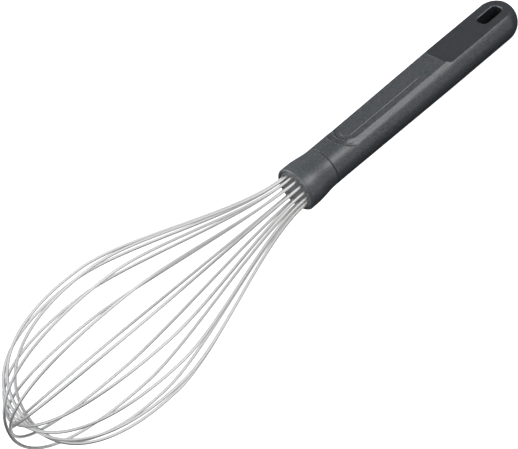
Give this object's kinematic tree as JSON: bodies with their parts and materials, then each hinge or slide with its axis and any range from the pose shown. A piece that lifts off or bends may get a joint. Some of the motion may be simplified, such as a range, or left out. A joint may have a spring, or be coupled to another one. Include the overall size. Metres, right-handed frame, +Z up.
{
  "type": "balloon whisk",
  "caption": "Balloon whisk with nested steel wire loops held in a bored plug at the flared mouth of a round dark grey handle with a thumb flat and a hanging slot.",
  "frame": {"origin": "centre of the bottom of the bounding box, on the surface that the whisk lies on", "axes": "+X towards the tip of the wire balloon, +Z up out of the thumb side of the handle, as the whisk lies on its lowest strand and its butt"},
  "size_m": [0.3028, 0.0654, 0.0665],
  "materials": {
    "handle": "dark grey moulded plastic with a soft satin grain",
    "collar": "dark grey moulded plastic, a little smoother than the handle",
    "holder": "dark grey moulded plastic with a fine matte face",
    "resin": "hard cast resin, out of sight",
    "wire": "drawn stainless steel wire, polished"
  },
  "bodies": {
    "root": {"handle_body": "handle", "collar": "collar", "wire_holder": "holder", "resin_seal": "resin", "wire_loop_1": "wire", "wire_loop_2": "wire", "wire_loop_3": "wire", "wire_loop_4": "wire", "wire_loop_5": "wire", "wire_loop_6": "wire", "wire_loop_7": "wire", "wire_loop_8": "wire"}
  },
  "joints": []
}
